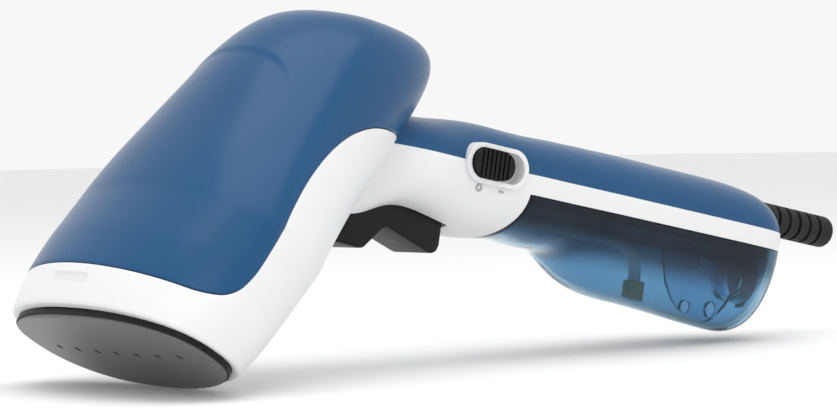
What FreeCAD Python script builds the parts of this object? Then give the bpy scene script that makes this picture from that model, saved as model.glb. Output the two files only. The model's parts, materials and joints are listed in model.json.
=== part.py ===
import FreeCAD, Part
import math
import os

os.makedirs("parts", exist_ok=True)

V = FreeCAD.Vector

# Garment steamer, millimetres.
# World: X towards the cord end, Z up, the mirror plane is Y = 0.
# Head frame:   X = towards the grip, Y = across, Z = depth behind the soleplate.
# Handle frame: X = along the grip,   Y = across, Z = up from the grip.
# Both frames share their origin, the centre of the soleplate's face.

# ---- driving dimensions ---------------------------------------------------
HEAD_TILT = 33.69            # head's depth axis from vertical
HANDLE_TILT = 11.2           # grip's axis below horizontal
WALL = 2.2                   # wall of the moulded shells
TANK_WALL = 1.8

PLATE_HALF_W = 44.0
PLATE_HALF_H = 18.5
PLATE_EXP = 2.4
PLATE_BULGE = 1.2
PLATE_T = 1.2
HOLE_COUNT = 7
HOLE_PITCH = 10.0
HOLE_R = 1.1
RIM_W = 0.6
RIM_FRONT = 0.3
BEZEL_FRONT = 2.0
BEZEL_WEB = 1.6              # thickness of the housing's front face
REAR_START = 40.0            # depth where the head starts to close
HEAD_BACK = 114.7            # depth of the head's rear end
REAR_NARROW = 0.43           # share of the width lost towards the rear
REAR_DROP = 0.25             # share by which the lower reach grows towards the rear
REAR_RISE = 13.75            # how far the rear sections move towards the grip
HEAD_SHEAR = 0.376           # slope of the rearmost section

GRIP_LINE = 70.6             # height of the seam between cover and lower shell
TANK_LINE = 64.6             # height of the seam between lower shell and tank
GRIP_BOTTOM = 50.7
GRIP_END = 240.4
FRONT_ARC_X = 100.5          # the tank's front follows an arc about this point
FRONT_ARC_Z = 66.0
FRONT_ARC_R = 24.0

SEAM_GAP = 0.05              # clearance between fixed mouldings
TANK_GAP = 0.4               # clearance all round the removable tank
RUN_GAP = 0.35               # clearance of moving pieces in their openings
PIN_GAP = 0.05               # radial clearance on hinge pins

PIVOT_X = 71.0
PIVOT_Z = 57.5
PIVOT_R = 1.5
TRIGGER_HALF_W = 9.0

CAP_X = 107.2
CAP_LEN = 15.6
CAP_H = 8.6
CAP_TRAVEL = 4.6
BEZEL_LEN = CAP_LEN + CAP_TRAVEL + 4.0
BEZEL_H = CAP_H + 3.4
SIDE_Y = 19.9                # half width of the grip at the switch

RELIEF_Z = 77.0
RELIEF_R = 5.3
RELIEF_OUT = 35.8
CORD_R = 3.2

PUMP_X = 134.0
PUMP_LEN = 44.0
PUMP_R = 5.3
CHANNEL_TOP = TANK_LINE + 6.0   # top of the rail channel, the floor of the grip's hollow
PUMP_Z = CHANNEL_TOP + 0.4 + PUMP_R
LID_T = 2.2
NOTCH_HALF_W = 8.0           # clip notch in the top of the bezel
NOTCH_Z0 = 7.8
NOTCH_Z1 = 10.2
NOTCH_DEEP = 0.8
HOSE_R = 1.9

# front stations of the head: depth, half width, top reach, bottom reach, top exponent, bottom exponent
HEAD_STATIONS = [
    (BEZEL_FRONT, PLATE_HALF_W + 2.3, PLATE_HALF_H + 4.1, PLATE_HALF_H + 2.9, 2.3, 2.4),
    (8.0, PLATE_HALF_W + 3.8, 24.5, 23.4, 2.1, 2.4),
    (14.0, PLATE_HALF_W + 4.6, 25.7, 25.2, 1.94, 2.4),
    (24.0, PLATE_HALF_W + 5.0, 24.8, 27.8, 1.85, 2.4),
    (32.0, PLATE_HALF_W + 4.7, 23.1, 29.8, 1.83, 2.42),
    (REAR_START, PLATE_HALF_W + 4.0, 21.4, 31.9, 1.83, 2.45),
]
# rear stations, as shares of the way from REAR_START to HEAD_BACK
REAR_STEPS = [0.1, 0.2, 0.32, 0.44, 0.56, 0.67, 0.77, 0.85, 0.91, 0.95, 0.975, 0.99, 0.998]

# stations of the grip and tank: along, half width, top, bottom, exponent below
GRIP_MID = 68.0
GRIP_STATIONS = [
    (50.0, 19.4, 82.2, 51.4, 2.4),
    (75.0, 19.5, 82.8, 51.0, 2.4),
    (100.0, 19.9, 83.4, GRIP_BOTTOM, 2.4),
    (124.0, 20.2, 84.1, GRIP_BOTTOM, 2.4),
    (138.0, 20.5, 84.4, GRIP_BOTTOM, 2.35),
    (146.0, 20.7, 84.6, 50.6, 2.3),
    (150.0, 20.8, 84.7, 50.2, 2.28),
    (154.0, 20.8, 84.8, 48.6, 2.25),
    (158.0, 20.9, 84.8, 45.6, 2.2),
    (162.0, 21.0, 84.9, 42.8, 2.15),
    (168.0, 21.0, 85.0, 40.6, 2.1),
    (178.0, 21.0, 85.0, 39.4, 2.1),
    (204.0, 21.0, 85.0, 38.0, 2.1),
    (GRIP_END - 18.4, 20.8, 84.5, 36.8, 2.1),
    (GRIP_END - 11.4, 20.3, 83.6, 36.6, 2.1),
    (GRIP_END - 6.4, 19.0, 82.0, 37.6, 2.1),
    (GRIP_END - 3.0, 17.0, 79.8, 40.2, 2.1),
    (GRIP_END - 1.0, 14.6, 77.2, 44.6, 2.1),
    (GRIP_END, 11.6, 74.6, 51.0, 2.1),
]

parts = {}


# ---- helpers ---------------------------------------------------------------
def add(name, shape, tilt):
    """File a shape under its node name, turned from its own frame to the world."""
    placed = shape.copy()
    placed.rotate(V(0, 0, 0), V(0, 1, 0), tilt)
    parts[name] = placed


def turned(shape, tilt):
    moved = shape.copy()
    moved.rotate(V(0, 0, 0), V(0, 1, 0), tilt)
    return moved


def head_point(x, y, z):
    """Point of the head frame, in the handle frame."""
    turn = FreeCAD.Rotation(V(0, 1, 0), HEAD_TILT - HANDLE_TILT)
    return turn.multVec(V(x, y, z))


def box(x0, x1, y0, y1, z0, z1):
    return Part.makeBox(x1 - x0, y1 - y0, z1 - z0, V(x0, y0, z0))


def rod(radius, start, end):
    axis = end - start
    return Part.makeCylinder(radius, axis.Length, start, axis)


def tube(r_out, r_in, start, end):
    return rod(r_out, start, end).cut(rod(r_in, start, end))


def spline_wire(points):
    curve = Part.BSplineCurve()
    curve.interpolate(Points=points, PeriodicFlag=True)
    return Part.Wire([curve.toShape()])


def lobe(angle, half_w, up, down, exp_up, exp_down):
    """Point of a closed lens outline: half_w across, up and down its two reaches.

    Below an exponent of 2 only the rise sharpens, so the middle stays smooth."""
    c = math.cos(angle)
    s = math.sin(angle)
    exp = exp_up if s > 0 else exp_down
    reach = up if s > 0 else down
    across = half_w * math.copysign(abs(c) ** (2.0 / max(exp, 2.0)), c)
    rise = reach * math.copysign(abs(s) ** (2.0 / exp), s)
    return across, rise


def outline(half_w, up, down, exp_up, exp_down, count=40):
    return [lobe(2 * math.pi * i / count, half_w, up, down, exp_up, exp_down) for i in range(count)]


def oval_prism(half_w, half_h, exp, z0, z1):
    """Superellipse prism along Z, wide across Y."""
    flat = [V(b, a, z0) for a, b in outline(half_w, half_h, half_h, exp, exp)]
    return Part.Face(spline_wire(flat)).extrude(V(0, 0, z1 - z0))


def smooth_loft(wires):
    """Solid through closed sections; cubic, as higher degrees overshoot between stations."""
    return Part.makeLoft(wires, True, False, False, 3)


def head_rows(inset):
    """Sections of the head: depth, centre, half width, reaches, exponents, slope."""
    rows = []
    for depth, half_w, up, down, e_up, e_down in HEAD_STATIONS:
        rows.append((depth, 0.0, half_w, up, down, e_up, e_down, 0.0))
    half_w, up, down, e_up, e_down = HEAD_STATIONS[-1][1:]
    for share in REAR_STEPS:
        depth = REAR_START + share * (HEAD_BACK - inset - REAR_START)
        closing = (1.0 - share ** 9) ** 0.25
        centre = REAR_RISE * share ** 1.44
        rear_w = half_w * (1.0 - REAR_NARROW * share) * closing
        rear_down = down * (1.0 + REAR_DROP * share) * closing
        exps = (e_up - 0.14 * share, e_down - 0.45 * share)
        rows.append((depth, centre, rear_w, up * closing, rear_down) + exps + (HEAD_SHEAR * share,))
    return rows


def head_loft(inset, start):
    """Head body offset inwards by inset, from the given front depth to its closed back."""
    rows = head_rows(inset)
    if start < BEZEL_FRONT:
        rows = [(start,) + rows[0][1:]] + rows
    return smooth_loft([head_wire(inset, *row) for row in rows])


def head_wire(inset, depth, centre, half_w, up, down, e_up, e_down, lean):
    points = []
    for across, out in outline(half_w - inset, up - inset, down - inset, e_up, e_down):
        x = centre - out
        points.append(V(x, across, depth + lean * x))
    return spline_wire(points)


def grip_loft(inset):
    wires = []
    for x, half_w, top, bottom, e_down in GRIP_STATIONS:
        if x > GRIP_END - 12.0:
            x = x - inset
        flat = outline(half_w - inset, top - GRIP_MID - inset, GRIP_MID - bottom - inset, 2.3, e_down)
        wires.append(spline_wire([V(x, a, GRIP_MID + b) for a, b in flat]))
    return smooth_loft(wires)


def prism_xz(points, y0, y1):
    """Straight-sided prism from an outline in the XZ plane."""
    ring = [V(x, y0, z) for x, z in points]
    ring.append(ring[0])
    return Part.Face(Part.makePolygon(ring)).extrude(V(0, y1 - y0, 0))


def front_region(gap):
    """Everything ahead of the tank's front arc; a positive gap makes it smaller."""
    r = FRONT_ARC_R - gap
    steps = 16
    arc = []
    for i in range(steps + 1):
        a = math.radians(0.0 - 72.0 * i / steps)
        arc.append(V(FRONT_ARC_X + r * math.cos(a), -60, FRONT_ARC_Z + r * math.sin(a)))
    curve = Part.BSplineCurve()
    curve.interpolate(Points=arc)
    corner = [arc[-1], V(20, -60, arc[-1].z - 25), V(20, -60, FRONT_ARC_Z), arc[0]]
    edges = [curve.toShape()] + [Part.makeLine(corner[i], corner[i + 1]) for i in range(3)]
    return Part.Face(Part.Wire(edges)).extrude(V(0, 120, 0))


def racetrack(length, height, y0, y1, cx, cz):
    """Slot-shaped prism along Y, long in X."""
    r = height / 2.0
    half = length / 2.0 - r
    mid = box(cx - half, cx + half, y0, y1, cz - r, cz + r)
    left = rod(r, V(cx - half, y0, cz), V(cx - half, y1, cz))
    right = rod(r, V(cx + half, y0, cz), V(cx + half, y1, cz))
    return mid.fuse([left, right]).removeSplitter()


def hose(points, radius):
    curve = Part.BSplineCurve()
    curve.interpolate(Points=points)
    path = Part.Wire([curve.toShape()])
    direction = curve.tangent(curve.FirstParameter)[0]
    ring = Part.Wire([Part.makeCircle(radius, points[0], direction)])
    return path.makePipeShell([ring], True, False)


def coil(radius, wire_r, turns, height, x, y, z):
    """Compression spring standing on the point x, y, z."""
    steps = int(turns * 16)
    points = []
    for i in range(steps + 1):
        a = 2 * math.pi * turns * i / steps
        points.append(V(x + radius * math.cos(a), y + radius * math.sin(a), z + height * i / steps))
    return hose(points, wire_r)


def screw(start, direction, length, head_r=2.4, shank_r=1.3):
    """Round-head self-tapping screw; start is the underside of its head."""
    unit = V(direction).normalize()
    shank = rod(shank_r, start, start + unit * length)
    head = rod(head_r, start - unit * 1.6, start)
    recess = rod(0.9, start - unit * 1.7, start - unit * 0.6)
    return head.fuse(shank).cut(recess)


# ---- outer forms -----------------------------------------------------------
head_outer = head_loft(0.0, BEZEL_FRONT)
head_inner = head_loft(WALL, -2.0)
grip_outer = grip_loft(0.0)
grip_inner = grip_loft(WALL)
head_clear = turned(turned(head_loft(-SEAM_GAP, BEZEL_FRONT), HEAD_TILT), -HANDLE_TILT)

# ---- head shells -----------------------------------------------------------
seam = [
    (-60.0, 12.6), (-14.0, 13.2), (-8.0, 14.8), (-4.4, 18.0), (-2.2, 24.0), (-0.8, 34.0),
    (0.6, 46.0), (3.4, 59.0), (9.2, 73.0), (14.2, 80.0), (21.4, 86.2), (33.5, 92.0), (44.0, 95.5), (70.0, 102.0),
]
seam_points = [V(x, -70, z) for x, z in seam]
seam_curve = Part.BSplineCurve()
seam_curve.interpolate(Points=seam_points)
back = [seam_points[-1], V(70, -70, 170), V(-60, -70, 170), seam_points[0]]
seam_edges = [seam_curve.toShape()] + [Part.makeLine(back[i], back[i + 1]) for i in range(3)]
cover_region = Part.Face(Part.Wire(seam_edges)).extrude(V(0, 140, 0))

front_face = box(-60, 60, -60, 60, BEZEL_FRONT, BEZEL_FRONT + BEZEL_WEB).common(head_outer)
front_face = front_face.cut(oval_prism(PLATE_HALF_W - 0.9 + SEAM_GAP, PLATE_HALF_H - 0.4 + SEAM_GAP, PLATE_EXP, 0.0, 9.0))
head_shell = head_outer.cut(head_inner)
neck_hole = turned(turned(grip_loft(WALL + 1.0), HANDLE_TILT), -HEAD_TILT)
neck_zone = box(0, 80, -30, 30, 40, 140)
neck_hole = neck_hole.common(neck_zone)
head_shell = head_shell.cut(neck_hole)
head_top_cover = head_shell.common(cover_region)
head_housing = head_shell.cut(cover_region).fuse(front_face)

add("head_top_cover", head_top_cover, HEAD_TILT)

# ---- soleplate, rim and boiler ---------------------------------------------
plate = oval_prism(PLATE_HALF_W, PLATE_HALF_H, PLATE_EXP, -PLATE_BULGE - 1.0, PLATE_T)
bulge_r = PLATE_HALF_W ** 2 / (2 * PLATE_BULGE)
bulge = rod(bulge_r, V(-40, 0, bulge_r - PLATE_BULGE), V(40, 0, bulge_r - PLATE_BULGE))
steam_plate = plate.common(bulge)
holes = []
for i in range(HOLE_COUNT):
    y = (i - (HOLE_COUNT - 1) / 2.0) * HOLE_PITCH
    holes.append(rod(HOLE_R, V(0, y, -4), V(0, y, PLATE_T + 2)))
steam_plate = steam_plate.cut(Part.makeCompound(holes))
add("steam_plate", steam_plate, HEAD_TILT)

flange = oval_prism(PLATE_HALF_W + RIM_W, PLATE_HALF_H + RIM_W, PLATE_EXP, RIM_FRONT, BEZEL_FRONT)
flange = flange.cut(oval_prism(PLATE_HALF_W + 0.15, PLATE_HALF_H + 0.15, PLATE_EXP, RIM_FRONT - 1, PLATE_T))
skirt = oval_prism(PLATE_HALF_W - 0.9, PLATE_HALF_H - 0.4, PLATE_EXP, PLATE_T, 11.0)
skirt_hole = oval_prism(PLATE_HALF_W - 3.0, PLATE_HALF_H - 2.5, PLATE_EXP, -2.0, 12.0)
plate_rim = flange.fuse(skirt).cut(skirt_hole)
add("plate_rim", plate_rim, HEAD_TILT)

BOILER_W = PLATE_HALF_W - 3.3
BOILER_H = PLATE_HALF_H - 2.8
boiler = oval_prism(BOILER_W, BOILER_H, PLATE_EXP, PLATE_T, 24.0)
pocket = oval_prism(BOILER_W - 4.0, BOILER_H - 4.0, PLATE_EXP, 12.0, 25.0)
island = box(-5.0, 5.0, -26.0, 26.0, 11.0, 21.0)
steam_ports = [rod(2.0, V(0, y, PLATE_T - 1), V(0, y, 26)) for y in (-30.0, 30.0)]
gallery = box(-3.0, 3.0, -32.5, 32.5, PLATE_T - 0.5, PLATE_T + 2.5)
heater_bore = rod(3.55, V(-8.5, -60, 8.0), V(-8.5, 60, 8.0))
boiler = boiler.cut(pocket).fuse(island).cut(Part.makeCompound(steam_ports)).cut(gallery)
boiler = boiler.cut(heater_bore)

heater = rod(3.5, V(-8.5, -27.0, 8.0), V(-8.5, 27.0, 8.0))
terminal_l = rod(1.2, V(-8.5, -31.0, 8.0), V(-8.5, -27.0, 8.0))
terminal_r = rod(1.2, V(-8.5, 27.0, 8.0), V(-8.5, 31.0, 8.0))
add("heating_element", heater.fuse([terminal_l, terminal_r]), HEAD_TILT)

gasket = oval_prism(BOILER_W - 0.6, BOILER_H - 0.6, PLATE_EXP, 24.0, 24.8)
gasket = gasket.cut(oval_prism(BOILER_W - 4.0, BOILER_H - 4.0, PLATE_EXP, 23.0, 26.0))

lid = oval_prism(BOILER_W, BOILER_H, PLATE_EXP, 24.8, 27.8)
inlet = rod(3.0, V(6.5, 0, 27.0), V(6.5, 0, 38.0))
inlet_hole = rod(1.4, V(6.5, 0, 23.0), V(6.5, 0, 39.0))
lid = lid.fuse(inlet).cut(inlet_hole)
leg_spots = ((0, -BOILER_W + 2.0), (0, BOILER_W - 2.0), (BOILER_H - 2.0, -14.0), (BOILER_H - 2.0, 14.0))
screw_holes = Part.makeCompound([rod(1.1, V(x, y, 18.0), V(x, y, 30.0)) for x, y in leg_spots])
lid = lid.cut(screw_holes)
add("boiler_lid", lid, HEAD_TILT)
add("boiler_gasket", gasket.cut(screw_holes), HEAD_TILT)
add("boiler_body", boiler.cut(screw_holes), HEAD_TILT)

thermostat = rod(6.0, V(-5.5, -12, 27.8), V(-5.5, -12, 34.0))
blade_a = box(-9.0, -8.0, -14.0, -10.0, 33.0, 40.0)
blade_b = box(-3.0, -2.0, -14.0, -10.0, 33.0, 40.0)
add("thermostat", thermostat.fuse([blade_a, blade_b]), HEAD_TILT)

fuse_body = rod(1.9, V(-5.5, 8, 29.9), V(-5.5, 20, 29.9))
fuse_clip = box(-8.2, -2.8, 12.0, 16.0, 27.8, 29.0)
fuse_leads = rod(0.5, V(-5.5, 4, 29.9), V(-5.5, 24, 29.9))
add("thermal_fuse", fuse_body.fuse([fuse_clip, fuse_leads]), HEAD_TILT)

carrier = oval_prism(BOILER_W + 3.0, BOILER_H + 3.0, PLATE_EXP, 41.0, 43.0)
carrier = carrier.common(head_loft(WALL + 1.0, 30.0))
carrier = carrier.cut(rod(4.5, V(6.5, 0, 40), V(6.5, 0, 44)))
legs = [rod(2.6, V(x, y, 27.8), V(x, y, 43.0)) for x, y in leg_spots]
leg_bores = [rod(1.2, V(x, y, 27.0), V(x, y, 44.0)) for x, y in leg_spots]
carrier = carrier.fuse(legs).cut(Part.makeCompound(leg_bores))
screws = [screw(V(x, y, 43.0), V(0, 0, -1), 23.0, 2.2, 1.1) for x, y in leg_spots]
add("boiler_screws", Part.makeCompound(screws), HEAD_TILT)
spokes = box(-60, 60, -4, 4, 38.6, 41.0).fuse(box(-4, 4, -60, 60, 38.6, 41.0))
arms = head_inner.common(spokes).cut(oval_prism(BOILER_W + 1.2, BOILER_H + 1.2, PLATE_EXP, 38.0, 42.0))
arms_low = arms.cut(cover_region)
arms_top = arms.common(cover_region)
head_housing = head_housing.fuse(arms_low)
notch = box(-40, 0, -NOTCH_HALF_W, NOTCH_HALF_W, NOTCH_Z0, NOTCH_Z1).cut(head_loft(NOTCH_DEEP, BEZEL_FRONT))
head_housing = head_housing.cut(notch)
add("head_housing", head_housing, HEAD_TILT)
parts["head_top_cover"] = turned(head_top_cover.fuse(arms_top), HEAD_TILT)
add("boiler_carrier", carrier, HEAD_TILT)

# ---- grip shells -----------------------------------------------------------
above = box(20, 300, -60, 60, GRIP_LINE, 140)
strip = box(100, 300, -60, 60, TANK_LINE, GRIP_LINE)
front = front_region(0.0).fuse(box(20, FRONT_ARC_X + FRONT_ARC_R, -60, 60, TANK_LINE, GRIP_LINE))
lower_region = front.fuse(strip).removeSplitter()
neck_block = box(20, FRONT_ARC_X + FRONT_ARC_R - WALL, -60, 60, FRONT_ARC_Z - 4, TANK_LINE + WALL + 1)
hollow_region = front_region(WALL).fuse([neck_block, box(20, 300, -60, 60, TANK_LINE + WALL, 140)])
cavity = grip_inner.common(hollow_region)

grip_solid = grip_outer.cut(head_clear)
lower_shell = grip_solid.common(lower_region).cut(cavity)
top_cover = grip_solid.common(above).cut(grip_inner)

# trigger slot and pivot ears
slot = box(PIVOT_X - 8.2, 102.6, -TRIGGER_HALF_W - RUN_GAP, TRIGGER_HALF_W + RUN_GAP, 30, 60)
lower_shell = lower_shell.cut(slot)
ears = []
for side in (-1, 1):
    y0 = min(side * (TRIGGER_HALF_W + 0.7), side * (TRIGGER_HALF_W + 3.4))
    ear = box(PIVOT_X - 4, PIVOT_X + 4, y0, y0 + 2.7, 51.0, PIVOT_Z + 4)
    ears.append(ear.common(grip_outer).cut(head_clear))
lower_shell = lower_shell.fuse(ears)
pin_half = TRIGGER_HALF_W + 3.4
lower_shell = lower_shell.cut(rod(PIVOT_R, V(PIVOT_X, -pin_half, PIVOT_Z), V(PIVOT_X, pin_half, PIVOT_Z)))

# bridge over the trigger, with two posts for the control board
bridge = box(77.0, 98.5, -25, 25, 61.0, 63.0).common(grip_outer)
posts = [rod(2.2, V(x, 10.0, 62.0), V(x, 10.0, 71.5)) for x in (80.0, 95.0)]
lower_shell = lower_shell.fuse([bridge] + posts)
lower_shell = lower_shell.cut(rod(1.6, V(83.0, 0, 60), V(83.0, 0, 64)))

# switch opening, through both shells
opening = racetrack(BEZEL_LEN, BEZEL_H, -40, -10, CAP_X + CAP_TRAVEL / 2.0, GRIP_LINE)
lower_shell = lower_shell.cut(opening)
top_cover = top_cover.cut(opening)

# strain relief hole through the cover's rear corner
relief_start = GRIP_END - 12.4
relief_hole = rod(RELIEF_R, V(relief_start - 2, 0, RELIEF_Z), V(300, 0, RELIEF_Z))
top_cover = top_cover.cut(relief_hole)

# docking bore and the rail channel the tank hangs from
DOCK_Z = 58.0
DOCK_R = 5.0
RAIL_NECK = 4.0
RAIL_HEAD = 7.0
RAIL_X0 = 150.0
RAIL_X1 = GRIP_END - 4.2
dock_boss = rod(DOCK_R + 2.2, V(108.0, 0, DOCK_Z), V(126.0, 0, DOCK_Z)).common(front_region(0.0))
lower_shell = lower_shell.fuse(dock_boss)
lower_shell = lower_shell.cut(rod(DOCK_R, V(113.0, 0, DOCK_Z), V(130.0, 0, DOCK_Z)))
lower_shell = lower_shell.cut(rod(2.2, V(100.0, 0, DOCK_Z), V(130.0, 0, DOCK_Z)))
channel = box(RAIL_X0 - 4, 250, -RAIL_HEAD - 2.4, RAIL_HEAD + 2.4, TANK_LINE, CHANNEL_TOP).common(grip_outer)
lower_shell = lower_shell.fuse(channel)
neck_cut = box(RAIL_X0 - 1.5, 260, -RAIL_NECK - 0.4, RAIL_NECK + 0.4, TANK_LINE - 1, TANK_LINE + 3.0)
head_cut = box(RAIL_X0 - 1.5, 260, -RAIL_HEAD - 0.4, RAIL_HEAD + 0.4, TANK_LINE + 1.6, TANK_LINE + 4.4)
lower_shell = lower_shell.cut(neck_cut.fuse(head_cut))
add("handle_lower_shell", lower_shell, HANDLE_TILT)
add("handle_top_cover", top_cover, HANDLE_TILT)

# ---- water tank ------------------------------------------------------------
tank_zone = box(60, 300, -60, 60, 0, TANK_LINE - TANK_GAP)
tank_zone = tank_zone.cut(front_region(-TANK_GAP)).cut(box(20, FRONT_ARC_X + 14.0, -60, 60, 0, 48.0))
tank_outer = grip_outer.common(tank_zone)
inner_zone = box(60, 300, -60, 60, 0, TANK_LINE + 5).cut(front_region(-TANK_GAP - TANK_WALL))
tank_hollow = grip_loft(TANK_WALL).common(inner_zone)
water_tank = tank_outer.cut(tank_hollow)
nipple_x0 = 115.0
nipple = rod(DOCK_R - 0.9, V(nipple_x0, 0, DOCK_Z), V(127.5, 0, DOCK_Z))
nipple_bore = rod(2.6, V(nipple_x0 - 1, 0, DOCK_Z), V(131.0, 0, DOCK_Z))
ring_groove = tube(DOCK_R + 1, DOCK_R - 2.0, V(117.0, 0, DOCK_Z), V(118.8, 0, DOCK_Z))
water_tank = water_tank.fuse(nipple).cut(nipple_bore).cut(ring_groove)
# fill mouth on the tank's back face
FILL_Z = 54.6
FILL_R = 6.0
collar = rod(FILL_R + 1.6, V(GRIP_END - 8.2, 0, FILL_Z), V(GRIP_END, 0, FILL_Z)).common(grip_outer)
mouth = rod(FILL_R, V(GRIP_END - 10.2, 0, FILL_Z), V(262, 0, FILL_Z))
water_tank = water_tank.fuse(collar).cut(mouth)
add("water_tank", water_tank, HANDLE_TILT)

lid_under = TANK_LINE - TANK_GAP - LID_T
lid_zone = box(60, 300, -60, 60, lid_under, TANK_LINE - TANK_GAP)
lid_zone = lid_zone.cut(front_region(-TANK_GAP - TANK_WALL - SEAM_GAP))
tank_lid = grip_loft(TANK_WALL + SEAM_GAP).common(lid_zone)
BAFFLE_X = GRIP_END - 21.4
baffle = grip_loft(TANK_WALL + SEAM_GAP).common(box(BAFFLE_X, BAFFLE_X + 1.4, -60, 60, 0, lid_under - SEAM_GAP))
baffle_ports = [rod(2.5, V(BAFFLE_X - 1, y, 43.0), V(BAFFLE_X + 3, y, 43.0)) for y in (-6.0, 6.0)]
baffle_ports.append(rod(2.0, V(BAFFLE_X - 1, 0, 59.0), V(BAFFLE_X + 3, 0, 59.0)))
add("tank_baffle", baffle.cut(Part.makeCompound(baffle_ports)), HANDLE_TILT)

rail = box(RAIL_X0, RAIL_X1, -RAIL_NECK, RAIL_NECK, TANK_LINE - TANK_GAP - 1.0, TANK_LINE + 3.0)
rail_top = box(RAIL_X0, RAIL_X1, -RAIL_HEAD, RAIL_HEAD, TANK_LINE + 2.0, TANK_LINE + 4.0)
rail = rail.fuse(rail_top).common(grip_inner)
tank_lid = tank_lid.fuse(rail).removeSplitter()
add("tank_lid", tank_lid, HANDLE_TILT)

seal = tube(DOCK_R - 0.12, DOCK_R - 2.0, V(117.1, 0, DOCK_Z), V(118.7, 0, DOCK_Z))
add("dock_seal", seal, HANDLE_TILT)

TUBE_X = 190.0
suction_path = [V(131.0, 0, DOCK_Z), V(140.0, 0, 58.4), V(152.0, 0, 59.2), V(166.0, 0, 59.5), V(178.0, 0, 59.2)]
suction_path += [V(185.6, 0, 57.2), V(189.3, 0, 52.6), V(TUBE_X, 0, 47.5)]
suction = hose([V(128.0, 0, DOCK_Z)] + suction_path + [V(TUBE_X, 0, 43.0)], 2.0)
stub = rod(2.55, V(124.0, 0, DOCK_Z), V(128.4, 0, DOCK_Z))
suction_bore = hose([V(122.0, 0, DOCK_Z), V(128.0, 0, DOCK_Z)] + suction_path + [V(TUBE_X, 0, 40.0)], 1.2)
suction = suction.fuse(stub).cut(suction_bore)
add("suction_tube", suction, HANDLE_TILT)

weight = tube(3.4, 2.1, V(TUBE_X, 0, 41.6), V(TUBE_X, 0, 47.6))
add("suction_weight", weight, HANDLE_TILT)

valve = rod(1.9, V(119.0, 0, DOCK_Z), V(121.0, 0, DOCK_Z)).fuse(rod(0.8, V(112.4, 0, DOCK_Z), V(119.5, 0, DOCK_Z)))
add("tank_valve", valve, HANDLE_TILT)

plug_r = FILL_R - 0.8
stopper = rod(plug_r, V(GRIP_END - 2.3, 0, FILL_Z), V(GRIP_END + 1.0, 0, FILL_Z))
stopper = stopper.fuse(rod(FILL_R + 1.4, V(GRIP_END + RUN_GAP, 0, FILL_Z), V(GRIP_END + 2.2, 0, FILL_Z)))
tab = box(GRIP_END + RUN_GAP, GRIP_END + 2.2, -2.5, 2.5, FILL_Z - 9.0, FILL_Z - 6.0)
stopper = stopper.fuse(tab)
add("fill_stopper", stopper, HANDLE_TILT)

# ---- trigger ---------------------------------------------------------------
profile = [
    (65.0, 49.2), (64.0, 46.0), (62.4, 41.6), (62.9, 40.3), (71.0, 39.7), (72.8, 40.0), (79.0, 46.6), (81.0, 47.3),
    (83.4, 46.6), (96.9, 42.6), (98.6, 42.3), (100.2, 43.2), (101.0, 45.0), (101.0, 54.6), (65.6, 54.6),
]
trigger = prism_xz(profile, -TRIGGER_HALF_W, TRIGGER_HALF_W)
boss = rod(3.6, V(PIVOT_X, -TRIGGER_HALF_W, PIVOT_Z), V(PIVOT_X, TRIGGER_HALF_W, PIVOT_Z))
web = box(PIVOT_X - 3.6, PIVOT_X + 3.6, -TRIGGER_HALF_W, TRIGGER_HALF_W, 50.0, PIVOT_Z)
trigger = trigger.fuse([boss, web])
trigger = trigger.cut(rod(PIVOT_R + PIN_GAP, V(PIVOT_X, -20, PIVOT_Z), V(PIVOT_X, 20, PIVOT_Z)))
inside = box(76.5, 98.5, -TRIGGER_HALF_W + 1.8, TRIGGER_HALF_W - 1.8, 49.4, 60.0)
spring_seat = rod(1.6, V(93.0, 0, 49.0), V(93.0, 0, 52.0))
plunger_pad = box(80.0, 86.0, -3.0, 3.0, 49.0, 56.0)
trigger = trigger.cut(inside).fuse([spring_seat, plunger_pad]).removeSplitter()
add("trigger", trigger, HANDLE_TILT)

pin = rod(PIVOT_R, V(PIVOT_X, -pin_half, PIVOT_Z), V(PIVOT_X, pin_half, PIVOT_Z))
add("trigger_pin", pin, HANDLE_TILT)

return_spring = coil(2.6, 0.35, 5.0, 10.8, 93.0, 0.0, 49.8)
add("trigger_spring", return_spring, HANDLE_TILT)

switch_case = box(78.5, 90.0, -3.2, 3.2, 63.0, 69.0).cut(rod(1.45, V(83.0, 0, 62), V(83.0, 0, 68.4)))
add("microswitch", switch_case, HANDLE_TILT)
add("microswitch_button", rod(1.2, V(83.0, 0, 56.4), V(83.0, 0, 65.4)), HANDLE_TILT)

# ---- power switch ------------------------------------------------------------
cap = racetrack(CAP_LEN, CAP_H, -SIDE_Y - 2.6, -SIDE_Y + 2.3, CAP_X, GRIP_LINE)
grooves = []
for i in range(7):
    x = CAP_X + (i - 3) * 1.7
    grooves.append(box(x - 0.35, x + 0.35, -SIDE_Y - 3.0, -SIDE_Y - 2.0, GRIP_LINE - 5, GRIP_LINE + 5))
cap = cap.cut(Part.makeCompound(grooves))
stem = box(CAP_X - 3.0, CAP_X + 3.0, -SIDE_Y + 2.0, -10.5, GRIP_LINE - 1.6, GRIP_LINE + 1.6)
add("switch_cap", cap.fuse(stem), HANDLE_TILT)

mid_x = CAP_X + CAP_TRAVEL / 2.0
bezel = racetrack(BEZEL_LEN, BEZEL_H, -SIDE_Y - 1.3, -15.5, mid_x, GRIP_LINE)
recess = racetrack(CAP_LEN + CAP_TRAVEL + 2 * RUN_GAP, CAP_H + 2 * RUN_GAP, -30, -SIDE_Y + 2.7, mid_x, GRIP_LINE)
stem_slot = box(CAP_X - 3.0 - RUN_GAP, CAP_X + 3.0 + CAP_TRAVEL + RUN_GAP, -30, -10, GRIP_LINE - 2.0, GRIP_LINE + 2.0)
add("switch_bezel", bezel.cut(recess).cut(stem_slot), HANDLE_TILT)

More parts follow.
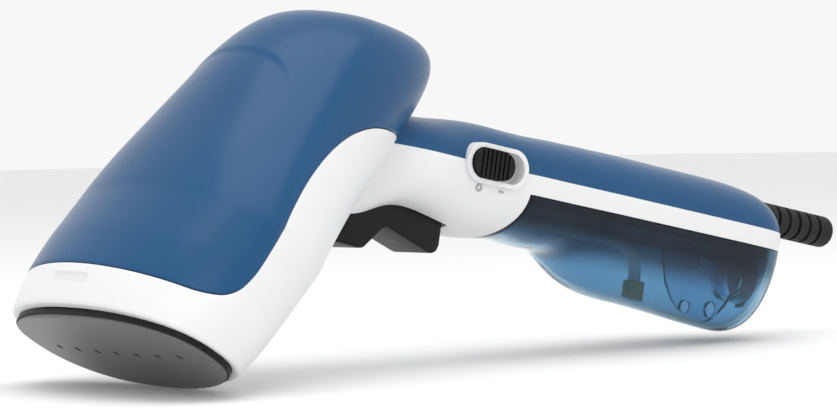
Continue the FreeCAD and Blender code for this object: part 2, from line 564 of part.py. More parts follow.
body = box(CAP_X - 8.0, CAP_X + 13.0, -15.5, -6.5, GRIP_LINE - 5.0, GRIP_LINE + 4.6)
pocket_y = -10.5 + RUN_GAP
body_slot = box(CAP_X - 3.0 - RUN_GAP, CAP_X + 3.0 + CAP_TRAVEL + RUN_GAP, -20, pocket_y, GRIP_LINE - 2.0, GRIP_LINE + 2.0)
terminals = [box(x - 0.4, x + 0.4, -6.6, -4.6, GRIP_LINE - 2.2, GRIP_LINE + 2.2) for x in (CAP_X - 4, CAP_X + 9)]
add("switch_body", body.cut(body_slot).fuse(terminals), HANDLE_TILT)

# ---- cord outlet ---------------------------------------------------------------
relief_end = GRIP_END + RELIEF_OUT
relief = rod(RELIEF_R, V(relief_start, 0, RELIEF_Z), V(relief_end, 0, RELIEF_Z))
tip = [e for e in relief.Edges if abs(e.BoundBox.XMin - relief_end) < 0.01 and abs(e.BoundBox.XMax - relief_end) < 0.01]
relief = relief.makeFillet(1.8, tip)
cuts = []
for i in range(5):
    x = relief_end - 28.0 + i * 5.0
    ring = tube(RELIEF_R + 1, RELIEF_R - 0.7, V(x, 0, RELIEF_Z), V(x + 1.3, 0, RELIEF_Z))
    cuts.append(ring)
    if i % 2 == 0:
        window = box(x, x + 1.3, -8, 8, RELIEF_Z - 2.6, RELIEF_Z + 2.6)
    else:
        window = box(x, x + 1.3, -2.6, 2.6, RELIEF_Z - 8, RELIEF_Z + 8)
    cuts.append(window.cut(rod(CORD_R + 0.7, V(x - 1, 0, RELIEF_Z), V(x + 3, 0, RELIEF_Z))))
relief = relief.cut(Part.makeCompound(cuts[::2])).cut(Part.makeCompound(cuts[1::2]))
relief = relief.cut(rod(CORD_R, V(relief_start - 1, 0, RELIEF_Z), V(relief_end + 1, 0, RELIEF_Z)))
add("strain_relief", relief, HANDLE_TILT)

clamp_x0 = GRIP_END - 24.2
clamp_x1 = clamp_x0 + 8.0
clamp_mid = clamp_x0 + 4.0
clamp = box(clamp_x0, clamp_x1, -9.0, 9.0, CHANNEL_TOP, RELIEF_Z + 2.0)
clamp = clamp.fuse(rod(CORD_R + 1.7, V(clamp_x0, 0, RELIEF_Z), V(clamp_x1, 0, RELIEF_Z)))
clamp = clamp.cut(rod(CORD_R, V(clamp_x0 - 2, 0, RELIEF_Z), V(clamp_x1 + 2, 0, RELIEF_Z)))
clamp_holes = [rod(1.0, V(clamp_mid, y, CHANNEL_TOP), V(clamp_mid, y, 90)) for y in (-6.9, 6.9)]
clamp = clamp.cut(Part.makeCompound(clamp_holes))
add("cord_clamp", clamp, HANDLE_TILT)
clamp_screws = [screw(V(clamp_mid, y, RELIEF_Z + 2.0), V(0, 0, -1), 7.0, 1.6, 1.0) for y in (-6.9, 6.9)]
add("clamp_screws", Part.makeCompound(clamp_screws), HANDLE_TILT)

# ---- pump, hoses and board -----------------------------------------------------
pump_end = PUMP_X + PUMP_LEN
pump = rod(PUMP_R, V(PUMP_X, 0, PUMP_Z), V(pump_end, 0, PUMP_Z))
inlet_spout = rod(1.5, V(PUMP_X - 6.0, -2.7, PUMP_Z - 2.0), V(PUMP_X, -2.7, PUMP_Z - 2.0))
outlet_spout = rod(1.5, V(PUMP_X - 6.0, 2.7, PUMP_Z + 2.0), V(PUMP_X, 2.7, PUMP_Z + 2.0))
pump = pump.fuse([inlet_spout, outlet_spout])
add("pump", pump, HANDLE_TILT)
cradle_a = box(136.0, 142.0, -9.0, 9.0, TANK_LINE + WALL, PUMP_Z)
cradle_b = box(168.0, 174.0, -9.0, 9.0, CHANNEL_TOP, PUMP_Z)
cradles = [c.cut(rod(PUMP_R, V(130, 0, PUMP_Z), V(190, 0, PUMP_Z))) for c in (cradle_a, cradle_b)]
add("pump_cradles", Part.makeCompound(cradles), HANDLE_TILT)

spout_x = PUMP_X - 6.1
feed_path = [V(107.9, 0, DOCK_Z), V(104.0, 0, 58.6), V(101.6, 1.0, 63.0), V(104.0, 2.0, 68.6), V(112.0, 1.0, 73.0)]
feed_path += [V(spout_x - 5.0, -2.7, PUMP_Z - 2.0), V(spout_x, -2.7, PUMP_Z - 2.0)]
add("feed_hose", hose(feed_path, HOSE_R), HANDLE_TILT)
steam_path = [V(spout_x, 2.7, PUMP_Z + 2.0), V(spout_x - 5.0, 2.7, PUMP_Z + 2.0), V(100.0, 4.0, 78.2)]
steam_path += [V(86.0, 4.0, 77.5), V(72.0, 3.5, 73.0), V(58.0, 2.0, 65.4), V(44.0, 1.0, 57.0)]
steam_path += [head_point(7.0, 0, 56.0), head_point(6.5, 0, 45.0), head_point(6.5, 0, 38.1)]
add("boiler_hose", hose(steam_path, HOSE_R), HANDLE_TILT)

board = box(78.0, 99.0, -5.0, 14.0, 71.5, 73.1)
chips = [box(78.0, 84.0, 7.5, 12.0, 73.1, 74.6), rod(2.2, V(90.0, 10.5, 73.1), V(90.0, 10.5, 77.6))]
add("control_board", board.fuse(chips), HANDLE_TILT)

# ---- names and files -------------------------------------------------------
whole = Part.makeCompound(list(parts.values()))
bounds = whole.optimalBoundingBox(True, False)
shift = V(-(bounds.XMin + bounds.XMax) / 2.0, 0, -bounds.ZMin)
print("bounds", bounds.XLength, bounds.YLength, bounds.ZLength, "shift", shift)
for name, shape in parts.items():
    moved = shape.copy()
    moved.translate(shift)
    if len(moved.Solids) == 1:
        moved = moved.Solids[0]
    print(name, "solids", len(moved.Solids), "valid", moved.isValid(), "volume", round(moved.Volume, 1))
    moved.exportStep("parts/" + name + ".step")
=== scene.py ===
import json
import math

import bmesh
import bpy
from mathutils import Matrix, Vector


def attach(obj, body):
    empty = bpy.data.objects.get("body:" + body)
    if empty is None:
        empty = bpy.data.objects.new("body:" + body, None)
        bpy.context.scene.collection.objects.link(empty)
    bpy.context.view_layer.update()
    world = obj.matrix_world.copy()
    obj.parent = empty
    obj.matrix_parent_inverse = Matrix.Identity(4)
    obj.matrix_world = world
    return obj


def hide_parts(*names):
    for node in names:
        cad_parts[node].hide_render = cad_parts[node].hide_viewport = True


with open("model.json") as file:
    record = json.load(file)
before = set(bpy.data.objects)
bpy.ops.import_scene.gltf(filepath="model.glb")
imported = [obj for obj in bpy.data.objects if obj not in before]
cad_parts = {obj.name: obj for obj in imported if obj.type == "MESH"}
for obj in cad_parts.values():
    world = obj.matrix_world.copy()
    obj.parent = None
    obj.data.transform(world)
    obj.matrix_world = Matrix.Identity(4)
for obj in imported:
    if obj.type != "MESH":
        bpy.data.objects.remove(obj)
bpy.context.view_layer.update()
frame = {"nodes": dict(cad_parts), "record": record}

# Everything is placed in metres, in the CAD row's frame.  The head and the grip have
# their own frames in millimetres, turned about Y and sharing the soleplate's centre, as
# in the part's design: head (towards the grip, across, depth), grip (along, across, up).
MM = 0.001
HEAD_TILT = math.radians(33.69)
GRIP_TILT = math.radians(11.2)
ORIGIN = Vector((-0.1344575, 0.0, 0.0112604))


def turned(tilt, x, y, z):
    c, s = math.cos(tilt), math.sin(tilt)
    return ORIGIN + Vector((x * c + z * s, y, -x * s + z * c)) * MM


def head_at(x, y, z):
    return turned(HEAD_TILT, x, y, z)


def grip_at(x, y, z):
    return turned(GRIP_TILT, x, y, z)


def link_object(name, data):
    obj = bpy.data.objects.new(name, data)
    bpy.context.scene.collection.objects.link(obj)
    return obj


# ---- camera ------------------------------------------------------------------
CAM_LENS = 116.1
CAM_PLACE = ORIGIN + Vector((-0.404776, -0.626552, 0.056574))
# the camera's right, down and forward directions
CAM_AXES = (
    (0.773809, -0.633144, -0.018641),
    (-0.03071, -0.008106, -0.999495),
    (0.632674, 0.773991, -0.025716),
)


def make_camera():
    data = bpy.data.cameras.new("camera")
    data.sensor_width = 36.0
    data.lens = CAM_LENS
    data.clip_start = 0.01
    data.clip_end = 50.0
    cam = link_object("camera", data)
    right, down, ahead = (Vector(v) for v in CAM_AXES)
    turn = Matrix((right, -down, -ahead)).transposed().to_4x4()
    cam.matrix_world = Matrix.Translation(CAM_PLACE) @ turn
    bpy.context.scene.camera = cam


# ---- material building ---------------------------------------------------------
BUMP_DEPTH = 0.0004
DRIFT_SCALE = 18.0
SMOOTHEST = 0.02


def new_material(name):
    mat = bpy.data.materials.new(name)
    mat.use_nodes = True
    nodes = mat.node_tree.nodes
    return mat, nodes, mat.node_tree.links, nodes["Principled BSDF"]


def noise_on(nodes, links, vector, scale, detail=2.0):
    noise = nodes.new("ShaderNodeTexNoise")
    noise.inputs["Scale"].default_value = scale
    noise.inputs["Detail"].default_value = detail
    links.new(vector, noise.inputs["Vector"])
    return noise.outputs["Fac"]


def color_between(nodes, links, factor, low, high, bsdf, stops=(0.0, 1.0)):
    ramp = nodes.new("ShaderNodeValToRGB")
    for element, color, stop in zip(ramp.color_ramp.elements, (low, high), stops):
        element.position = stop
        element.color = [min(c, 1.0) for c in color] + [1.0]
    links.new(factor, ramp.inputs["Fac"])
    links.new(ramp.outputs["Color"], bsdf.inputs["Base Color"])


def rough_between(nodes, links, factor, low, high, bsdf):
    spread = nodes.new("ShaderNodeMapRange")
    spread.inputs["To Min"].default_value = low
    spread.inputs["To Max"].default_value = high
    links.new(factor, spread.inputs["Value"])
    links.new(spread.outputs["Result"], bsdf.inputs["Roughness"])


def bump_from(nodes, links, height, strength, bsdf):
    relief = nodes.new("ShaderNodeBump")
    relief.inputs["Strength"].default_value = strength
    relief.inputs["Distance"].default_value = BUMP_DEPTH
    links.new(height, relief.inputs["Height"])
    links.new(relief.outputs["Normal"], bsdf.inputs["Normal"])


def plastic(name, color, rough, grain=900.0, bump=0.02, tint=0.06, specular=0.5, rough_vary=0.04):
    """Moulded plastic: a faint moulded texture, slight tone drift and roughness drift."""
    mat, nodes, links, bsdf = new_material(name)
    place = nodes.new("ShaderNodeTexCoord").outputs["Object"]
    fine = noise_on(nodes, links, place, grain, 3.0)
    broad = noise_on(nodes, links, place, DRIFT_SCALE)
    darker = [c * (1.0 - tint) for c in color]
    lighter = [c * (1.0 + tint) for c in color]
    color_between(nodes, links, broad, darker, lighter, bsdf, stops=(0.3, 0.7))
    rough_between(nodes, links, fine, max(rough - rough_vary, SMOOTHEST), rough + rough_vary, bsdf)
    bump_from(nodes, links, fine, bump, bsdf)
    bsdf.inputs["Specular IOR Level"].default_value = specular
    return mat


def metal(name, color, rough, streak=140.0):
    """Metal with fine directional tooling marks."""
    mat, nodes, links, bsdf = new_material(name)
    bsdf.inputs["Metallic"].default_value = 1.0
    coord = nodes.new("ShaderNodeTexCoord")
    stretch = nodes.new("ShaderNodeMapping")
    stretch.inputs["Scale"].default_value = (streak, streak * 14.0, streak)
    links.new(coord.outputs["Object"], stretch.inputs["Vector"])
    marks = noise_on(nodes, links, stretch.outputs["Vector"], 6.0, 4.0)
    color_between(nodes, links, marks, [c * 0.85 for c in color], [c * 1.1 for c in color], bsdf)
    rough_between(nodes, links, marks, rough * 0.8, rough * 1.25, bsdf)
    return mat


def clear_tint(name, low_color, high_color, rough):
    """Clear tinted moulding whose tint deepens between two heights in the grip's frame."""
    mat, nodes, links, bsdf = new_material(name)
    place = nodes.new("ShaderNodeTexCoord").outputs["Object"]
    height = nodes.new("ShaderNodeVectorMath")
    height.operation = "DOT_PRODUCT"
    height.inputs[1].default_value = (math.sin(GRIP_TILT), 0.0, math.cos(GRIP_TILT))
    links.new(place, height.inputs[0])
    base = ORIGIN.x * math.sin(GRIP_TILT) + ORIGIN.z * math.cos(GRIP_TILT)
    fade = nodes.new("ShaderNodeMapRange")
    fade.inputs["From Min"].default_value = base + TINT_LOW * MM
    fade.inputs["From Max"].default_value = base + TINT_HIGH * MM
    links.new(height.outputs["Value"], fade.inputs["Value"])
    color_between(nodes, links, fade.outputs["Result"], low_color, high_color, bsdf)
    bump_from(nodes, links, noise_on(nodes, links, place, 60.0), 0.02, bsdf)
    bsdf.inputs["Roughness"].default_value = rough
    bsdf.inputs["Transmission Weight"].default_value = 0.95
    bsdf.inputs["IOR"].default_value = 1.3
    return mat


# ---- finishes --------------------------------------------------------------------
TINT_LOW = 50.0
TINT_HIGH = 58.0

BLUE = plastic("blue_gloss", (0.011, 0.072, 0.180), 0.27, grain=1200.0, bump=0.01, specular=0.22)
WHITE = plastic("white_satin", (0.75, 0.75, 0.755), 0.42, grain=1400.0, bump=0.015, tint=0.01)
BLACK = plastic("black_satin", (0.009, 0.009, 0.010), 0.42, grain=1500.0, bump=0.05, tint=0.15,
                specular=0.15)
SOLE = plastic("soleplate_coat", (0.12, 0.12, 0.122), 0.38, grain=2600.0, bump=0.12, tint=0.12)
RUBBER = plastic("black_rubber", (0.012, 0.012, 0.012), 0.6, grain=2200.0, bump=0.12, tint=0.2,
                 specular=0.25)
STOPPER = plastic("navy_rubber", (0.03, 0.085, 0.15), 0.5, grain=2200.0, bump=0.08, specular=0.3)
RED = plastic("red_silicone", (0.38, 0.05, 0.03), 0.55, bump=0.05)
HOSE = plastic("hose_silicone", (0.62, 0.62, 0.6), 0.45, bump=0.03)
DARK = plastic("dark_plastic", (0.05, 0.05, 0.055), 0.5, bump=0.06)
GREY = plastic("grey_plastic", (0.2, 0.21, 0.23), 0.5, bump=0.06)
BOARD = plastic("board_green", (0.02, 0.15, 0.05), 0.4, bump=0.03)
TINT_LID = plastic("tank_lid_tint", (0.006, 0.026, 0.055), 0.3, bump=0.01, specular=0.3)
CAST = metal("cast_aluminium", (0.62, 0.62, 0.6), 0.45)
STEEL = metal("steel", (0.58, 0.58, 0.57), 0.3)
MARK = plastic("grey_print", (0.33, 0.33, 0.34), 0.5)
ICON = plastic("icon_print", (0.10, 0.10, 0.10), 0.35)
BRASS = metal("brass", (0.34, 0.25, 0.10), 0.4)
TANK = clear_tint("tank_blue", (0.30, 0.52, 0.70), (0.035, 0.11, 0.19), 0.03)
BAFFLE = clear_tint("baffle_blue", (0.62, 0.80, 0.92), (0.3, 0.45, 0.6), 0.05)

# each material slot's finish, and the nodes that don't take their slot's
FINISH = {
    "blue_cover": BLUE, "white_shell": WHITE, "black_plastic": BLACK, "plate_coating": SOLE,
    "black_seal": RUBBER, "boiler_cast": CAST, "element_steel": STEEL, "silicone_red": RED,
    "silicone_hose": HOSE, "carrier_plastic": DARK, "tank_clear": TANK, "tank_lid_tint": TINT_LID,
    "screw_steel": STEEL, "pin_steel": STEEL, "board_green": BOARD, "brass_weight": BRASS,
    "device_black": DARK, "pump_grey": GREY,
}
OWN_FINISH = {"tank_baffle": BAFFLE, "fill_stopper": STOPPER}


def dress_nodes():
    for sub in frame["record"]["subparts"]:
        obj = frame["nodes"][sub["node"]]
        mat = OWN_FINISH.get(sub["node"], FINISH[sub["material_slot"]])
        if not obj.material_slots:
            obj.data.materials.append(mat)
        for slot in obj.material_slots:
            slot.material = mat


# ---- smooth curves through a few design values ------------------------------------
def steady(xs, ys):
    """Monotone cubic through the given values."""
    n = len(xs)
    d = [(ys[i + 1] - ys[i]) / (xs[i + 1] - xs[i]) for i in range(n - 1)]
    m = [d[0]]
    for i in range(1, n - 1):
        if d[i - 1] * d[i] <= 0:
            m.append(0.0)
        else:
            w1 = 2 * (xs[i + 1] - xs[i]) + (xs[i] - xs[i - 1])
            w2 = (xs[i + 1] - xs[i]) + 2 * (xs[i] - xs[i - 1])
            m.append((w1 + w2) / (w1 / d[i - 1] + w2 / d[i]))
    m.append(d[-1])

    def value(x):
        if x <= xs[0]:
            return ys[0] + m[0] * (x - xs[0])
        if x >= xs[-1]:
            return ys[-1] + m[-1] * (x - xs[-1])
        i = 0
        while x > xs[i + 1]:
            i += 1
        h = xs[i + 1] - xs[i]
        t = (x - xs[i]) / h
        a = (1 + 2 * t) * (1 - t) ** 2 * ys[i] + t * (1 - t) ** 2 * h * m[i]
        return a + t * t * (3 - 2 * t) * ys[i + 1] + t * t * (t - 1) * h * m[i + 1]

    return value


def columns(rows):
    """One smooth curve for each column after the first, which holds the depths."""
    xs = [row[0] for row in rows]
    return [steady(xs, [row[k] for row in rows]) for k in range(1, len(rows[0]))]


def lobe(angle, half_w, up, down, e_up, e_down):
    """Point of a rounded outline with its own reach and squareness above and below."""
    c, s = math.cos(angle), math.sin(angle)
    e = e_up if s > 0 else e_down
    reach = up if s > 0 else down
    across = half_w * math.copysign(abs(c) ** (2 / max(e, 2.0)), c)
    return across, reach * math.copysign(abs(s) ** (2 / e), s)


def smooth_step(w):
    w = min(max(w, 0.0), 1.0)
    return w * w * (3 - 2 * w)


# ---- the head's outer surface -------------------------------------------------------
FRONT = 2.0             # depth of the white housing's front edge
REAR_START = 40.0       # depth where the head starts to close
HEAD_BACK = 114.68      # depth of its rear end
LAST_SHARE = 0.998

# depth, half width, reach up, reach down, squareness up, squareness down
HEAD_ROWS = [
    (FRONT, 46.3, 22.6, 21.4, 2.3, 2.4),
    (8.0, 47.8, 24.5, 23.4, 2.1, 2.4),
    (14.0, 48.6, 25.7, 25.2, 1.94, 2.4),
    (24.0, 49.0, 24.8, 27.8, 1.85, 2.4),
    (32.0, 48.7, 23.1, 29.8, 1.83, 2.42),
    (REAR_START, 48.0, 21.4, 31.9, 1.83, 2.45),
]
head_cols = columns(HEAD_ROWS)

# the seam between the blue cover and the white housing: distance towards the grip, depth
SEAM = [
    (-60.0, 12.6), (-14.0, 13.2), (-8.0, 14.8), (-4.4, 18.0), (-2.2, 24.0), (-0.8, 34.0), (0.6, 46.0),
    (3.4, 59.0), (9.2, 73.0), (14.2, 80.0), (21.4, 86.2), (33.5, 92.0), (44.0, 95.5), (70.0, 102.0),
]
seam_depth = steady([p[0] for p in SEAM], [p[1] for p in SEAM])


def head_skin(angle, t, inset=0.0):
    """Point of the head's surface; t runs from the front to the closed back."""
    a, up, down, e_up, e_down = (col(min(t, REAR_START)) for col in head_cols)
    centre = lean = 0.0
    depth = t
    if t > REAR_START:
        share = min((t - REAR_START) / (HEAD_BACK - REAR_START), LAST_SHARE)
        closing = (1.0 - share ** 9) ** 0.25
        depth = REAR_START + share * (HEAD_BACK - inset - REAR_START)
        centre = 13.75 * share ** 1.44
        a = a * (1 - 0.43 * share) * closing
        up = up * closing
        down = down * (1 + 0.25 * share) * closing
        e_up = e_up - 0.14 * share
        e_down = e_down - 0.45 * share
        lean = 0.376 * share
    across, out = lobe(angle, a - inset, up - inset, down - inset, e_up, e_down)
    x = centre - out
    return x, across, depth + lean * x


def seam_t(angle):
    """How far back the surface meets the seam at an angle, found by halving."""
    low, high = FRONT, HEAD_BACK
    for _ in range(34):
        mid = (low + high) / 2
        x, y, z = head_skin(angle, mid)
        if z < seam_depth(x):
            low = mid
        else:
            high = mid
    return (low + high) / 2


SEAM_SAMPLES = 1400
LEAST_STEP = 0.04


def seam_angles(count):
    """Angles round the head, spread evenly along its seam."""
    angles = [2 * math.pi * i / SEAM_SAMPLES for i in range(SEAM_SAMPLES + 1)]
    points = [Vector(head_skin(a, seam_t(a))) for a in angles]
    total = [0.0]
    for i in range(SEAM_SAMPLES):
        step = (points[i + 1] - points[i]).length + LEAST_STEP
        total.append(total[-1] + step)
    picked = []
    i = 0
    for k in range(count):
        want = total[-1] * k / count
        while total[i + 1] < want:
            i += 1
        w = (want - total[i]) / (total[i + 1] - total[i])
        picked.append(angles[i] + (angles[i + 1] - angles[i]) * w)
    return picked


# ---- mesh building ---------------------------------------------------------------------
MERGE_DIST = 2e-6
FAN_TIP = 0.002


def mesh_object(name, verts, faces, mat, body, smooth=True):
    mesh = bpy.data.meshes.new(name)
    mesh.from_pydata([tuple(v) for v in verts], [], faces)
    bm = bmesh.new()
    bm.from_mesh(mesh)
    bmesh.ops.remove_doubles(bm, verts=bm.verts, dist=MERGE_DIST)
    bmesh.ops.recalc_face_normals(bm, faces=bm.faces)
    bm.to_mesh(mesh)
    bm.free()
    for face in mesh.polygons:
        face.use_smooth = smooth
    obj = link_object(name, mesh)
    mesh.materials.append(mat)
    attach(obj, body)
    return obj


def quads(rows, cols, wrap):
    """Faces of a grid of points, joined round its columns if wrap is true."""
    faces = []
    for i in range(rows - 1):
        here, above = i * cols, (i + 1) * cols
        for j in range(cols if wrap else cols - 1):
            k = (j + 1) % cols
            faces.append((here + j, here + k, above + k, above + j))
    return faces


def fan_rows(ring, steps):
    """Rows that close a ring towards its middle."""
    centre = sum(ring, Vector()) / len(ring)
    rows = []
    for i in range(1, steps + 1):
        w = max(1 - i / steps, FAN_TIP)
        rows.append([centre + (p - centre) * w for p in ring])
    return rows


def skin_row(angles, depths, inset):
    return [head_at(*head_skin(a, t, inset)) for a, t in zip(angles, depths)]


def dented_row(angles, depths, dent):
    """A row of the skin, sunk by what dent gives at each of its points."""
    return [head_at(*head_skin(a, t, dent(*head_skin(a, t)))) for a, t in zip(angles, depths)]


# ---- head shells -------------------------------------------------------------------------
LIP_REACH = 2.0         # how far from the seam an edge's rounding starts
SEAM_GAP = 0.12         # half of the gap at the seam
SHELL = 2.2             # wall of the head's shells
# edge of a shell at the seam: (distance from the seam, depth below the skin)
LIP = [
    (LIP_REACH, 0.0), (1.1, 0.0), (0.62, 0.015), (0.34, 0.09), (0.18, 0.24), (SEAM_GAP, 0.5),
    (SEAM_GAP, SHELL),
]

# shallow U-shaped panel on the blue cover's top
PANEL_HALF_W = 30.5
PANEL_START = 62.0
PANEL_LEN = 31.0
PANEL_EXP = 3.2
PANEL_DEPTH = 0.45

COVER_ROWS = 130
COVER_INNER_ROWS = 24
COVER_CROWD = 1.9       # crowds the cover's rows towards its closed back


def top_panel(x, y, z):
    """How far the panel on the cover's top sits below the skin."""
    if x > 2.0:
        return 0.0
    side = abs(y) / PANEL_HALF_W
    end = (z - PANEL_START) / PANEL_LEN
    r = (side ** PANEL_EXP + max(end, 0.0) ** PANEL_EXP) ** (1 / PANEL_EXP)
    depth = smooth_step((1.0 - r) / 0.07)
    fade = smooth_step((z - 48.0) / 26.0)
    return PANEL_DEPTH * depth * fade


def head_cover():
    angles = seam_angles(300)
    starts = [seam_t(a) for a in angles]
    rows = [skin_row(angles, [t + dist for t in starts], inset) for dist, inset in reversed(LIP)]
    for i in range(1, COVER_ROWS + 1):
        back = 1 - (1 - i / COVER_ROWS) ** COVER_CROWD
        depths = [t + LIP_REACH + (HEAD_BACK - t - LIP_REACH) * back for t in starts]
        rows.append(dented_row(angles, depths, top_panel))
    rows += fan_rows(rows[-1], 8)
    inner = []
    for i in range(COVER_INNER_ROWS + 1):
        back = 1 - (1 - i / COVER_INNER_ROWS) ** COVER_CROWD
        depths = [t + SEAM_GAP + (HEAD_BACK - t - SEAM_GAP) * back for t in starts]
        inner.append(skin_row(angles, depths, SHELL))
    inner += fan_rows(inner[-1], 3)
    rows = list(reversed(inner))[:-1] + rows
    cols = len(angles)
    last = (len(rows) - 1) * cols
    faces = quads(len(rows), cols, True)
    faces.append(tuple(range(cols)))
    faces.append(tuple(last + j for j in reversed(range(cols))))
    verts = [p for row in rows for p in row]
    obj = mesh_object("head_cover_skin", verts, faces, BLUE, "main_body")
    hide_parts("head_top_cover")


NOTCH_Z = 9.0
NOTCH_HALF_W = 8.2
NOTCH_HALF_H = 1.35
NOTCH_DEPTH = 0.8

FRONT_ROUND = 0.8
# the housing's front edge, from inside to outside: (distance from the front, depth below the skin)
FRONT_EDGE = [
    (1.6, 3.2), (0.05, 3.2), (0.0, 3.0), (0.0, 1.2), (0.0, 0.8), (0.1, 0.42), (0.35, 0.14),
    (FRONT_ROUND, 0.0),
]
WEB_BACK = FRONT + 1.6  # back of the housing's front face
HOUSING_ROWS = 110
HOUSING_INNER_ROWS = 12
HOUSING_CROWD = 1.35    # crowds the housing's rows towards its front


def clip_notch(x, y, z):
    """Shallow clip pocket near the front edge of the white housing's top."""
    if x > 0:
        return 0.0
    along = smooth_step((NOTCH_HALF_W - abs(y)) / 0.4)
    return NOTCH_DEPTH * along * smooth_step((NOTCH_HALF_H - abs(z - NOTCH_Z)) / 0.35)


def head_lower():
    angles = seam_angles(420)
    ends = [seam_t(a) for a in angles]
    rows = [skin_row(angles, [FRONT + dist] * len(angles), inset) for dist, inset in FRONT_EDGE]
    start = FRONT + FRONT_ROUND
    for i in range(1, HOUSING_ROWS):
        back = (i / HOUSING_ROWS) ** HOUSING_CROWD
        depths = [start + (t - LIP_REACH - FRONT - FRONT_ROUND) * back for t in ends]
        rows.append(dented_row(angles, depths, clip_notch))
    rows += [skin_row(angles, [t - dist for t in ends], inset) for dist, inset in LIP]
    for i in range(1, HOUSING_INNER_ROWS + 1):
        w = 1 - i / HOUSING_INNER_ROWS
        depths = [WEB_BACK + (t - SEAM_GAP - WEB_BACK) * w for t in ends]
        rows.append(skin_row(angles, depths, SHELL))
    cols = len(angles)
    verts = [p for row in rows for p in row]
    obj = mesh_object("head_lower_skin", verts, quads(len(rows), cols, True), WHITE, "main_body")
    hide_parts("head_housing")


# ---- printed marks beside the switch --------------------------------------------------------
GRIP_MID = 68.0
NECK_HALF_W = 19.8
NECK_BOTTOM = 50.7
NECK_EXP = 2.4

PRINT = 0.06            # how far a printed stroke stands out
PRINT_ROOT = -0.1       # how far its sides go in
OFF_MARK = (104.6, 63.2)
ON_MARK = (113.4, 63.4)
MARK_R = 0.95
BAR_STEP = 0.19


def neck_side(s, h, out):
    """Point on the side of the white neck that has the switch, moved outwards by out."""
    low = (GRIP_MID - h) / (GRIP_MID - NECK_BOTTOM)
    across = NECK_HALF_W * (1.0 - low ** NECK_EXP) ** (1.0 / NECK_EXP)
    return grip_at(s, -across - out, h)


def ribbon(name, centre_line, width, place, mat, body):
    """Thin printed stroke that follows a line on a surface; place(u, v, out) gives its points."""
    verts = []
    count = len(centre_line)
    for i, (u, v) in enumerate(centre_line):
        before = centre_line[max(i - 1, 0)]
        after = centre_line[min(i + 1, count - 1)]
        du, dv = after[0] - before[0], after[1] - before[1]
        size = math.hypot(du, dv)
        nu, nv = -dv / size * width / 2, du / size * width / 2
        verts += [place(u + nu, v + nv, PRINT_ROOT), place(u + nu, v + nv, PRINT)]
        verts += [place(u - nu, v - nv, PRINT), place(u - nu, v - nv, PRINT_ROOT)]
    faces = quads(count, 4, True)
    faces.append((0, 1, 2, 3))
    faces.append(tuple((count - 1) * 4 + j for j in (3, 2, 1, 0)))
    obj = mesh_object(name, verts, faces, mat, body, smooth=False)


def switch_marks():
    ring = []
    for i in range(33):
        a = 2 * math.pi * i / 32
        ring.append((OFF_MARK[0] + MARK_R * math.cos(a), OFF_MARK[1] + MARK_R * math.sin(a)))
    ribbon("mark_off", ring, 0.36, neck_side, MARK, "main_body")
    bar = [(ON_MARK[0] - MARK_R + BAR_STEP * i, ON_MARK[1]) for i in range(11)]
    ribbon("mark_on", bar, 0.4, neck_side, MARK, "main_body")


# ---- trigger ----------------------------------------------------------------------------------
TRIGGER_HALF_W = 9.0
TRIGGER_TIP_TOP = 49.3      # edges below this height are rounded right across
TRIGGER_SIDE_TOP = 54.7     # side edges are rounded up to this height
TRIGGER_ROUND = 0.9
LEAST_TURN = 0.35           # radians between the faces of an edge that is rounded

# the sloping finger face: its ends and the icon's middle, as (along, up)
FINGER_FRONT = (83.4, 46.6)
FINGER_BACK = (96.9, 42.6)
ICON_PLACE = (90.2, 44.59)
ICON_LEN = 3.0
ICON_PITCH = 1.25
ICON_WAVE = 0.32


def trigger_edge(edge):
    """Whether an edge of the trigger is one of the outer edges that are rounded."""
    c, s = math.cos(GRIP_TILT), math.sin(GRIP_TILT)
    ends = [(v.co - ORIGIN) / MM for v in edge.verts]
    top = max(p.x * s + p.z * c for p in ends)
    on_side = min(abs(p.y) for p in ends) > TRIGGER_HALF_W - 0.1
    on_tip = len(edge.link_faces) == 2 and top < TRIGGER_TIP_TOP
    if top >= TRIGGER_SIDE_TOP or not (on_side or on_tip):
        return False
    return edge.is_manifold and edge.calc_face_angle(0.0) > LEAST_TURN


def rounded_trigger():
    """The trigger with its outer edges rounded, on a copy of its own mesh."""
    mesh = frame["nodes"]["trigger"].data.copy()
    mesh.transform(frame["nodes"]["trigger"].matrix_world)
    bm = bmesh.new()
    bm.from_mesh(mesh)
    bmesh.ops.remove_doubles(bm, verts=bm.verts, dist=1e-6)
    bmesh.ops.dissolve_limit(bm, angle_limit=math.radians(1.0), verts=bm.verts, edges=bm.edges)
    outer = [edge for edge in bm.edges if trigger_edge(edge)]
    bmesh.ops.bevel(bm, geom=outer, offset=TRIGGER_ROUND * MM, segments=4, profile=0.5,
                    affect="EDGES", clamp_overlap=True)
    bmesh.ops.recalc_face_normals(bm, faces=bm.faces)
    bm.to_mesh(mesh)
    bm.free()
    for face in mesh.polygons:
        face.use_smooth = True
    mesh.set_sharp_from_angle(angle=math.radians(32))
    mesh.materials.clear()
    mesh.materials.append(BLACK)
    obj = link_object("trigger_rounded", mesh)
    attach(obj, "trigger_lever")
    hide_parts("trigger")


def trigger_face(u, v, out):
    """Point of the trigger's sloping finger face: u along the slope, v across."""
    slope = math.atan2(FINGER_BACK[1] - FINGER_FRONT[1], FINGER_BACK[0] - FINGER_FRONT[0])
    c, s = math.cos(slope), math.sin(slope)
    return grip_at(ICON_PLACE[0] + u * c + out * s, v, ICON_PLACE[1] + u * s - out * c)


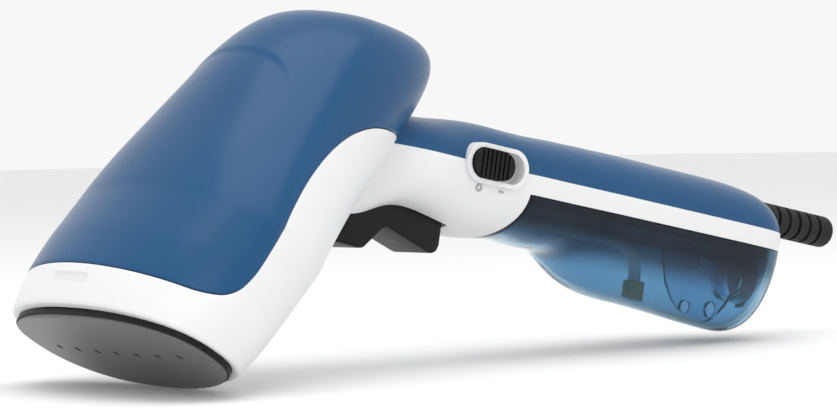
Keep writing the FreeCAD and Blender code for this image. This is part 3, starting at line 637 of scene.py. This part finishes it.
def steam_icon():
    for k in (-1, 0, 1):
        line = []
        for i in range(17):
            w = i / 16
            wave = ICON_WAVE * math.sin(2 * math.pi * w)
            line.append((-ICON_LEN / 2 + ICON_LEN * w, k * ICON_PITCH + wave))
        ribbon("steam_icon_%d" % (k + 2), line, 0.34, trigger_face, ICON, "trigger_lever")


# ---- stage -----------------------------------------------------------------------------------
FLOOR_DROP = 0.0003
FLOOR_LOW = (0.85, 0.85, 0.85)
FLOOR_HIGH = (0.88, 0.88, 0.88)

# name, place, target, size, power
LIGHTS = [
    ("top_soft", (-0.1, -0.1, 1.1), (0, 0, 0.05), (1.1, 0.8), 5.0),
    ("front_left", (-1.0, -0.7, 0.7), (0, 0, 0.05), (0.7, 0.9), 2.6),
    ("right_low", (0.6, -1.1, 0.4), (0.05, 0, 0.05), (0.5, 0.5), 0.8),
]


def lay_floor():
    mesh = bpy.data.meshes.new("floor")
    bm = bmesh.new()
    bmesh.ops.create_grid(bm, x_segments=2, y_segments=2, size=6.0)
    bm.to_mesh(mesh)
    bm.free()
    floor = link_object("floor", mesh)
    floor.location = (0.0, 0.0, -FLOOR_DROP)
    mat, nodes, links, bsdf = new_material("pale_floor")
    place = nodes.new("ShaderNodeTexCoord").outputs["Object"]
    color_between(nodes, links, noise_on(nodes, links, place, 3.0), FLOOR_LOW, FLOOR_HIGH, bsdf)
    bsdf.inputs["Roughness"].default_value = 0.75
    mesh.materials.append(mat)


def area_light(name, place, target, size, power):
    data = bpy.data.lights.new(name, "AREA")
    data.shape = "RECTANGLE"
    data.size, data.size_y = size
    data.energy = power
    lamp = link_object(name, data)
    lamp.location = place
    lamp.rotation_mode = "QUATERNION"
    lamp.rotation_quaternion = (Vector(target) - Vector(place)).to_track_quat("-Z", "Y")


def light_stage():
    world = bpy.data.worlds.new("studio")
    world.use_nodes = True
    back = world.node_tree.nodes["Background"]
    back.inputs["Color"].default_value = (1.0, 1.0, 1.0, 1.0)
    back.inputs["Strength"].default_value = 0.93
    bpy.context.scene.world = world
    for light in LIGHTS:
        area_light(*light)


bpy.context.scene.view_settings.view_transform = "Standard"
make_camera()
dress_nodes()
head_cover()
head_lower()
rounded_trigger()
switch_marks()
steam_icon()
lay_floor()
light_stage()
